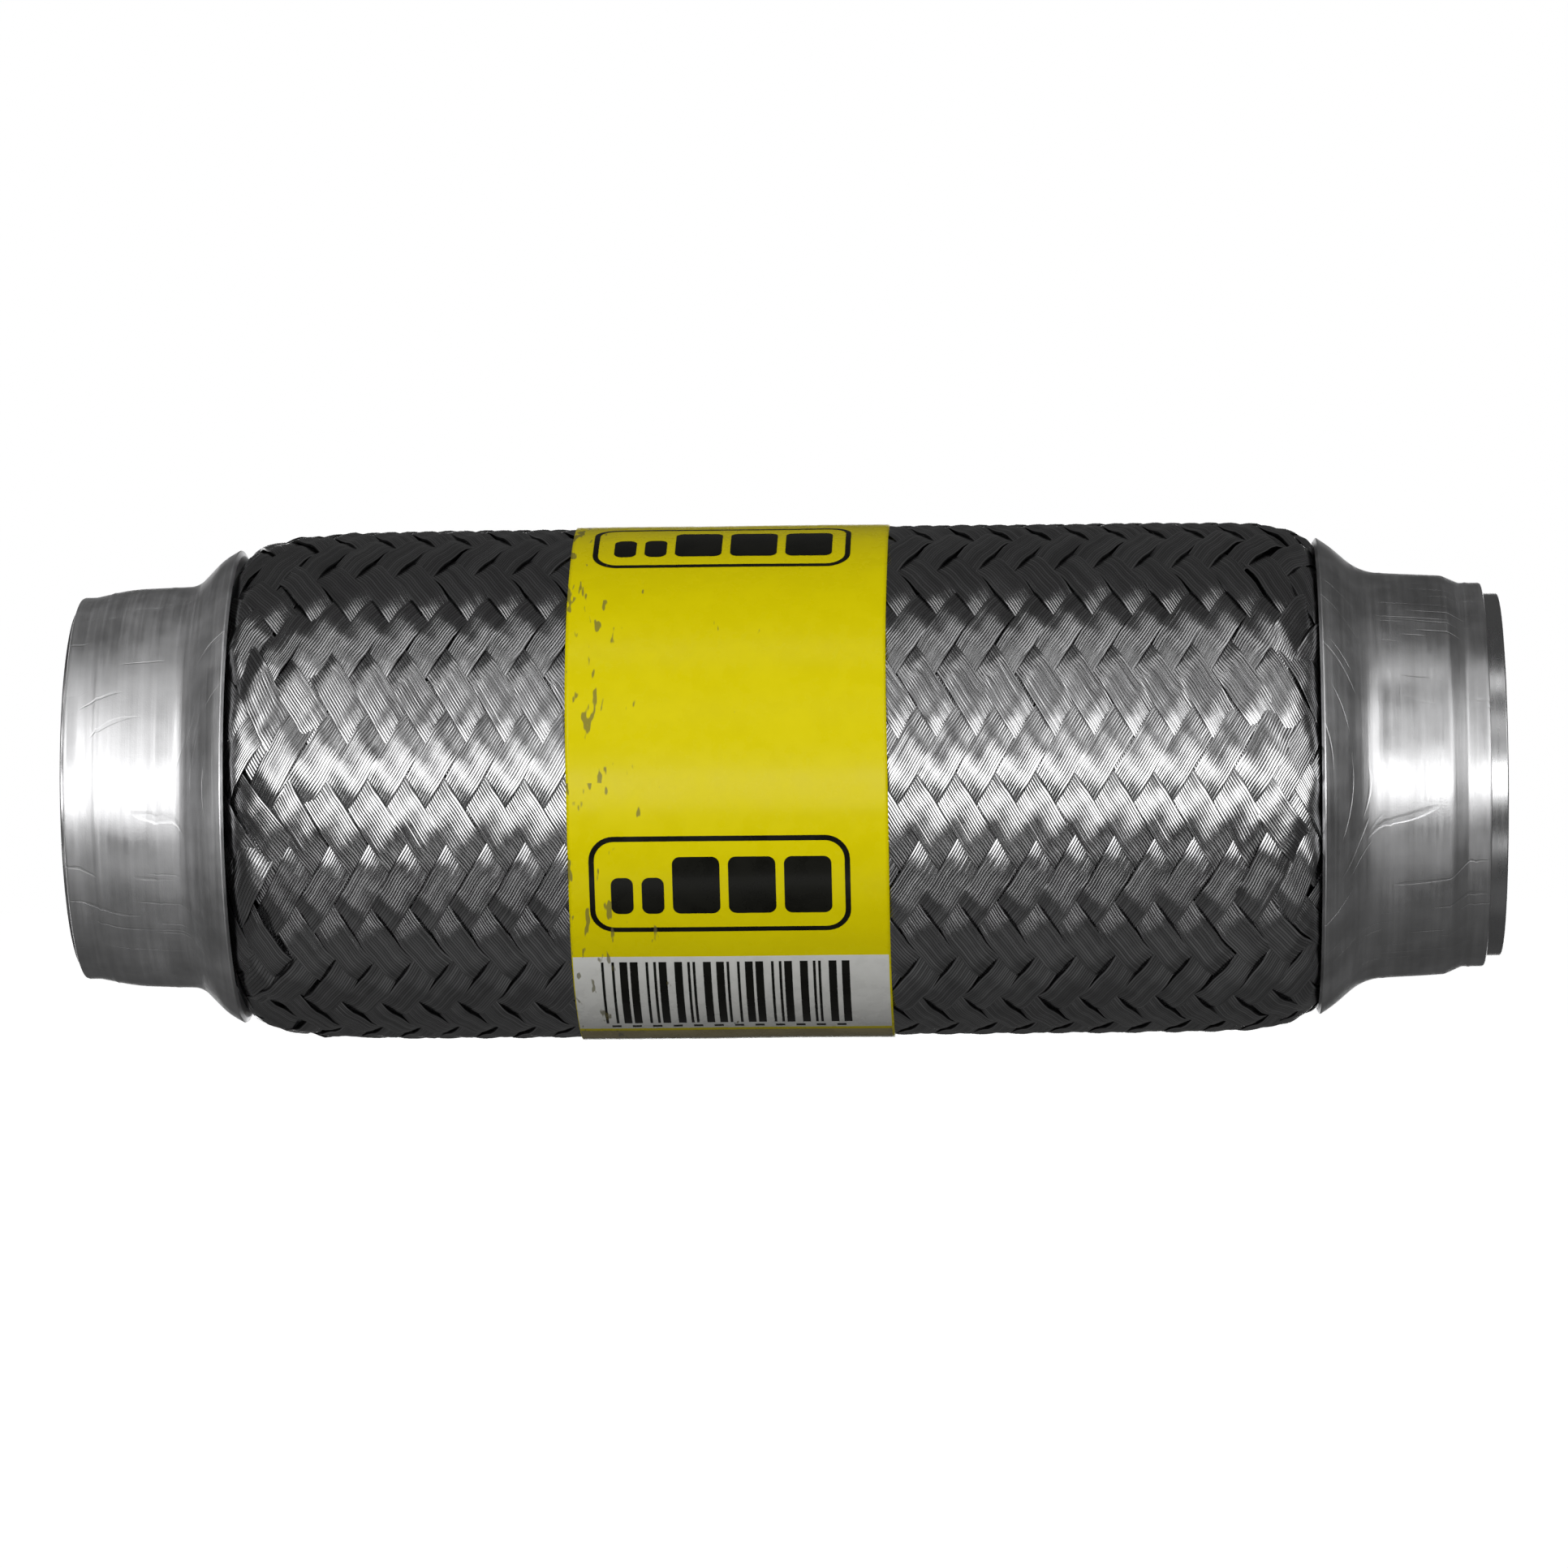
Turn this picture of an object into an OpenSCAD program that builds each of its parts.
// Braided flexible pipe coupling: a two-ply bellows and an interlocked liner inside a woven
// wire sleeve, held at both ends by stamped collars. Millimetres. The pipe axis is X, the
// origin is the middle of the axis, and the inlet end is at -X.

/* [Overall] */
// Length from end ring to end ring
overall_length = 203.2; // [190:0.1:230]
// Diameter of the bore that takes the pipe
pipe_bore_d = 50.8; // [50.6:0.1:51]
// Outer diameter of the woven sleeve
braid_d = 73; // [72.8:0.1:73.2]

/* [Collars] */
// Sheet thickness of the collars
collar_sheet = 0.9; // [0.7:0.05:1]
// How far the inlet end ring stands out of its collar
inlet_ring_stand_out = 0.6; // [0.3:0.1:0.9]
// How far the outlet end ring stands out of its collar
outlet_ring_stand_out = 2.4; // [1:0.1:2.7]
// Bevel on the outer edge of the nose
nose_bevel = 0.35; // [0.1:0.05:0.5]

/* [End rings] */
// Wall of the end rings
ring_wall = 0.5; // [0.4:0.05:0.6]
// Length of the end rings
ring_length = 17.6; // [15:0.1:20]

/* [Bellows] */
// Thickness of one ply
ply_t = 0.25; // [0.2:0.01:0.28]
// Number of convolutions
convolutions = 24; // [20:1:26]
// Space between the crests and the woven sleeve
crest_gap = 1.2; // [1:0.1:2]
// Space between the roots and the liner
root_gap = 0.45; // [0.3:0.05:0.8]

/* [Woven sleeve] */
// Thickness of the woven sleeve
braid_t = 1.0; // [0.8:0.1:1.1]
// Length of sleeve held inside each collar, measured back from the end of the coupling
braid_end_inset = 11.6; // [11:0.1:13]

/* [Liner] */
// Number of liner turns
liner_turns = 13; // [13:1:13]
// Strip thickness of the liner
strip_t = 0.35; // [0.3:0.01:0.38]
// Length of the flexible middle that the liner turns share
flex_length = 138.6; // [136:0.1:140]

/* [Label band] */
// Width of the label band
label_w = 44.7; // [20:0.1:60]
// Distance from the middle of the coupling to the middle of the band, towards the inlet
label_shift = 7.35; // [0:0.05:15]
// Thickness of the label band
label_t = 0.15; // [0.1:0.01:0.3]

/* [Hidden] */
$fn = 128;

// The layers at the ends, from the bore outwards, each a small gap from the last.
gap = 0.05;
tight_gap = 0.02;
collar_gap = 0.03;
braid_neck_t = 0.65;
cut_over = 1;
half_length = overall_length / 2;
bore_r = pipe_bore_d / 2;
ring_r = bore_r + ring_wall;
sleeve_r = ring_r + gap;
sleeve_outer_r = sleeve_r + strip_t;
nose_inner_ply_r = ring_r + gap;
nose_outer_ply_r = nose_inner_ply_r + ply_t + tight_gap;
nose_r = nose_outer_ply_r + ply_t + collar_gap + collar_sheet;
cuff_inner_ply_r = sleeve_outer_r + gap;
cuff_outer_ply_r = cuff_inner_ply_r + ply_t + gap;
braid_neck_inner_r = cuff_outer_ply_r + ply_t + gap;
braid_neck_r = braid_neck_inner_r + braid_neck_t;
braid_r = braid_d / 2;

// Collar outlines, walked from the nose towards the lip: [length, turn in degrees].
inlet_outline = [
    [1.2, 0],
    [0.8, 12],
    [3.0, 0],
    [4.0, -10],
    [6.2, 0],
    [2.7, 43],
    [2.6, 0],
    [2.6, -16],
    [1.2, 0]
];
outlet_outline = [
    [2.5, 0],
    [0.6, 24],
    [2.0, 0],
    [0.8, -21],
    [8.6, 0],
    [5.0, 37],
    [1.9, 0],
    [2.2, -7],
    [1.2, 0]
];
outline_step = 8;
straight_turn = 0.001;

// Shoulders of the woven sleeve: [distance from the end, soft drop, its reach, steep drop,
// its reach]. The drop is measured down from the full radius.
inlet_shoulder = [24.9, 2.5, 6.8, 0.7, 1.2];
outlet_shoulder = [27.0, 2.9, 3.6, 0.1, 1.0];
shoulder_reach = 36;
shoulder_step = 0.75;

// Bellows outline. The cuffs step up behind the nose and rise to the first root.
cuff_start_inset = 2.8;
cuff_step_inset = 7.8;
cuff_step_run = 0.6;
cuff_rise_inset = 25.6;
cuff_rise_run = 4.5;
facet_turn = 30;
wave_pitch = flex_length / convolutions;
ply_shift = ply_t + gap;

// Liner turns. Each has a web, an inner wall with a hook that points out, and an outer wall
// with a hook that points in. The hook of one turn sits behind the hook of the next.
turn_pitch = flex_length / (liner_turns - 1);
wall_share = 0.64;
wall_space = 1.3;
out_hook_gap = 0.5;
in_hook_gap = 0.45;
wall_reach = wall_share * turn_pitch;
outer_wall_r = sleeve_outer_r + wall_space;
out_hook_r = outer_wall_r - out_hook_gap;
in_hook_r = sleeve_outer_r + in_hook_gap;
liner_sleeve_inset = 8.2;

// The bellows fits between the liner and the woven sleeve.
root_r = outer_wall_r + strip_t + root_gap;
crest_r = braid_r - braid_t - crest_gap;

// Turns a profile drawn as [distance along the axis, radius] into a solid round X.
module revolve() {
    rotate([0, 90, 0]) rotate_extrude() mirror([1, -1]) children();
}

module ring(x0, x1, r_in, r_out) {
    translate([x0, 0, 0]) rotate([0, 90, 0]) difference() {
        cylinder(r = r_out, h = x1 - x0);
        translate([0, 0, -cut_over]) cylinder(r = r_in, h = x1 - x0 + 2 * cut_over);
    }
}

// Points [distance, radius, heading] along an outline of straight and bent stretches.
function steps(turn) = max(1, ceil(abs(turn) / outline_step));
function chord(length, turn) =
    abs(turn) < straight_turn ? length : 2 * length / (abs(turn) * PI / 180) * sin(abs(turn) / 2);
function walk(outline, i, k, x, r, heading) =
    i == len(outline) ? [[x, r, heading]] :
    let (
        length = outline[i][0],
        bend = outline[i][1],
        n = steps(bend),
        turn = bend / n,
        way = chord(length / n, turn),
        last = k == n - 1,
        x2 = x - way * cos(heading + turn / 2),
        r2 = r + way * sin(heading + turn / 2)
    )
    concat(
        [[x, r, heading]],
        walk(outline, last ? i + 1 : i, last ? 0 : k + 1, x2, r2, heading + turn)
    );

// A collar pressed from sheet, drawn with its nose towards +X.
module collar(outline, stand_out) {
    x_end = half_length - stand_out;
    path = walk(outline, 0, 0, x_end - nose_bevel, nose_r, 0);
    outer = [for (p = path) [p[0], p[1]]];
    inner = [for (p = path)
        [p[0] - collar_sheet * sin(p[2]), p[1] - collar_sheet * cos(p[2])]];
    edge = [[x_end, nose_r - collar_sheet], [x_end, nose_r - nose_bevel]];
    last = len(inner) - 1;
    revolve() polygon(concat(edge, outer, [for (i = [last : -1 : 1]) inner[i]]));
}

module inlet_collar() {
    color("silver") mirror([1, 0, 0]) collar(inlet_outline, inlet_ring_stand_out);
}

module outlet_collar() {
    color("silver") collar(outlet_outline, outlet_ring_stand_out);
}

module inlet_end_ring() {
    color("gainsboro") ring(-half_length, ring_length - half_length, bore_r, ring_r);
}

module outlet_end_ring() {
    color("gainsboro") ring(half_length - ring_length, half_length, bore_r, ring_r);
}

// Points along an arc round [x, r], from one angle to another.
function arc(x, r, radius, a0, a1) =
    let (n = abs(a1 - a0) / facet_turn)
    [for (k = [0 : n])
        let (a = a0 + (a1 - a0) * k / n)
        [x + radius * cos(a), r + radius * sin(a)]];

// Outline of the convolutions at a distance above the inner face of the inner ply. It starts
// and ends at the bottom of a root.
function waves(above) =
    let (
        bend = wave_pitch / 4,
        half_wall = ply_t + gap / 2,
        root_bend = bend + half_wall - above,
        crest_bend = bend - half_wall + above,
        root_centre = root_r + bend + half_wall,
        crest_centre = crest_r - bend - half_wall
    )
    concat(
        arc(-flex_length / 2, root_centre, root_bend, 270, 360),
        [for (i = [0 : convolutions - 1])
            let (x = (i + 0.5) * wave_pitch - flex_length / 2)
            each concat(
                arc(x, crest_centre, crest_bend, 180, 0),
                arc(x + wave_pitch / 2, root_centre, root_bend, 180,
                    i < convolutions - 1 ? 360 : 270)
            )]
    );

// Outline of one cuff, from the nose to the first root, on the +X side.
function cuff(nose_level, cuff_level, root_level) =
    let (step_x = half_length - cuff_step_inset, rise_x = half_length - cuff_rise_inset)
    [
        [half_length - cuff_start_inset, nose_level],
        [step_x + cuff_step_run, nose_level],
        [step_x, cuff_level],
        [rise_x, cuff_level],
        [rise_x - cuff_rise_run, root_level]
    ];

function back(points) = [for (i = [len(points) - 1 : -1 : 0]) points[i]];
function flip(points) = [for (p = points) [-p[0], p[1]]];

// The full outline of a ply face, from the inlet to the outlet.
function ply_face(nose_level, cuff_level, above) =
    let (end = cuff(nose_level, cuff_level, root_r + above))
    concat(flip(end), waves(above), back(end));

module ply(nose_level, cuff_level, above) {
    lower = ply_face(nose_level, cuff_level, above);
    upper = ply_face(nose_level + ply_t, cuff_level + ply_t, above + ply_t);
    revolve() polygon(concat(lower, back(upper)));
}

module bellows_inner_ply() {
    color("darkgray") ply(nose_inner_ply_r, cuff_inner_ply_r, 0);
}

module bellows_outer_ply() {
    color("gray") ply(nose_outer_ply_r, cuff_outer_ply_r, ply_shift);
}

// How far the sleeve has dropped at a distance u beyond the reference of its shoulder.
function drop(s, u) =
    let (soft = s[1], soft_reach = s[2], steep = s[3], steep_reach = s[4])
    soft * exp(u / soft_reach) + steep * exp(u / steep_reach);
function shoulder(s, level, floor_r) =
    let (inset = s[0], x_ref = half_length - inset, x_end = half_length - braid_end_inset)
    concat(
        [for (x = [x_ref - shoulder_reach : shoulder_step : x_end])
            [x, max(floor_r, level - drop(s, x - x_ref))]],
        [[x_end, floor_r]]
    );

module outer_braid() {
    inner_r = braid_r - braid_t;
    upper = concat(
        flip(back(shoulder(inlet_shoulder, braid_r, braid_neck_r))),
        shoulder(outlet_shoulder, braid_r, braid_neck_r)
    );
    lower = concat(
        flip(back(shoulder(inlet_shoulder, inner_r, braid_neck_inner_r))),
        shoulder(outlet_shoulder, inner_r, braid_neck_inner_r)
    );
    color("dimgray") revolve() polygon(concat(upper, back(lower)));
}

module label_band() {
    r = braid_r + gap;
    middle = -label_shift;
    color("gold") ring(middle - label_w / 2, middle + label_w / 2, r, r + label_t);
}

// One turn of the liner. The first has a sleeve in place of its outer wall, and the last
// has a sleeve in place of its inner wall.
module liner_turn(i) {
    first = i == 0;
    last = i == liner_turns - 1;
    x = i * turn_pitch - flex_length / 2;
    sleeve_end = half_length - liner_sleeve_inset;
    color("lightgray") union() {
        if (!first) {
            ring(x - wall_reach, x + strip_t / 2, outer_wall_r, outer_wall_r + strip_t);
            ring(x - wall_reach, x - wall_reach + strip_t, in_hook_r, outer_wall_r + strip_t);
            ring(x - strip_t / 2, x + strip_t / 2, sleeve_r, outer_wall_r + strip_t);
        }
        if (!last) {
            ring(x - strip_t / 2, x + wall_reach, sleeve_r, sleeve_outer_r);
            ring(x + wall_reach - strip_t, x + wall_reach, sleeve_r, out_hook_r);
        }
        if (first) ring(-sleeve_end, x, sleeve_r, sleeve_outer_r);
        if (last) ring(x, sleeve_end, sleeve_r, sleeve_outer_r);
    }
}

inlet_collar();
outlet_collar();
inlet_end_ring();
outlet_end_ring();
bellows_inner_ply();
bellows_outer_ply();
outer_braid();
label_band();
liner_turn(0);  // liner_turn_01
liner_turn(1);  // liner_turn_02
liner_turn(2);  // liner_turn_03
liner_turn(3);  // liner_turn_04
liner_turn(4);  // liner_turn_05
liner_turn(5);  // liner_turn_06
liner_turn(6);  // liner_turn_07
liner_turn(7);  // liner_turn_08
liner_turn(8);  // liner_turn_09
liner_turn(9);  // liner_turn_10
liner_turn(10);  // liner_turn_11
liner_turn(11);  // liner_turn_12
liner_turn(12);  // liner_turn_13
